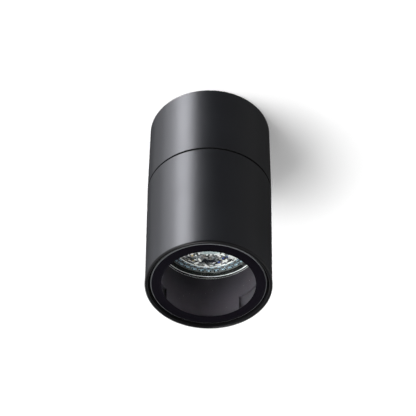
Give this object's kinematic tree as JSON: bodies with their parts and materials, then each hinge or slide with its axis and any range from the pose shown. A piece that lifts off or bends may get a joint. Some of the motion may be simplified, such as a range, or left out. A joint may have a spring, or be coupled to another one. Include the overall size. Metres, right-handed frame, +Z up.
{
  "type": "outdoor ceiling light",
  "caption": "Round surface-mounted outdoor downlight: a slim black tube in two halves that screw together, with a sealed glass front and a twist-in spot lamp.",
  "frame": {"origin": "middle of the face that lies on the ceiling", "axes": "+Z up into the ceiling, with the light hanging below the origin; +X along the line of the two fixing slots"},
  "size_m": [0.0604, 0.0604, 0.1043],
  "materials": {
    "black_coat": "satin black powder coat on cast aluminium",
    "bezel_coat": "smooth satin black paint",
    "sleeve_black": "matt black with a faint sheen",
    "black_silicone": "soft matt silicone",
    "grey_foam": "closed-cell foam rubber",
    "grommet_rubber": "soft matt rubber",
    "clear_glass": "clear tempered glass",
    "black_enamel": "black enamel printed on the glass",
    "clear_optic": "clear polished optic",
    "lamp_metal": "cast aluminium with a fine satin surface",
    "white_board": "white solder mask",
    "yellow_phosphor": "yellow phosphor under clear silicone",
    "lamp_white": "satin white moulding",
    "plated_pin": "nickel plated",
    "white_ceramic": "unglazed steatite",
    "bare_brass": "turned brass",
    "zinc_steel": "bright zinc plate",
    "block_white": "translucent white nylon",
    "brown_lead": "brown insulation",
    "blue_lead": "blue insulation",
    "earth_sleeve": "green and yellow insulation"
  },
  "bodies": {
    "ceiling_base": {"upper_housing": "black_coat", "ceiling_gasket": "grey_foam", "cable_grommet": "grommet_rubber", "holder_bracket": "zinc_steel", "bracket_screws": "zinc_steel", "lamp_holder": "white_ceramic", "holder_back": "white_ceramic", "holder_contacts": "bare_brass", "holder_screws": "zinc_steel", "holder_nuts": "zinc_steel", "terminal_block": "block_white", "terminal_tubes": "bare_brass", "terminal_screws": "zinc_steel", "block_screw": "zinc_steel", "live_lead": "brown_lead", "neutral_lead": "blue_lead", "earth_lead": "earth_sleeve", "earth_lug": "plated_pin", "earth_screw": "zinc_steel"},
    "lamp": {"lamp_lens": "clear_optic", "lamp_shell": "lamp_metal", "led_board": "white_board", "led_chip": "yellow_phosphor", "lamp_base": "lamp_white", "lamp_pins": "plated_pin"},
    "seal_ring": {"seam_seal": "black_silicone"},
    "lower_light": {"lower_housing": "black_coat", "antiglare_sleeve": "sleeve_black", "sleeve_snap_ring": "zinc_steel", "glass_gasket": "black_silicone", "cover_glass": "clear_glass", "glass_border": "black_enamel", "glass_sealant": "black_silicone", "front_bezel": "bezel_coat"}
  },
  "joints": [
    {"name": "lamp_twist", "type": "hinge", "parent": "ceiling_base", "child": "lamp", "pos_m": [0, 0, -0.0279], "axis": [0, 0, -1], "range_deg": [0, 25]},
    {"name": "housing_slide", "type": "slide", "parent": "ceiling_base", "child": "seal_ring", "axis": [0, 0, -1], "range_m": [0, 0.00701]},
    {"name": "housing_unscrew", "type": "hinge", "parent": "seal_ring", "child": "lower_light", "pos_m": [0, 0, -0.0421], "axis": [0, 0, -1], "range_deg": [0, 1260]}
  ],
  "couplings": [
    {"joint": "housing_slide", "follows": "housing_unscrew", "m_per_rad": 0.00031831}
  ]
}
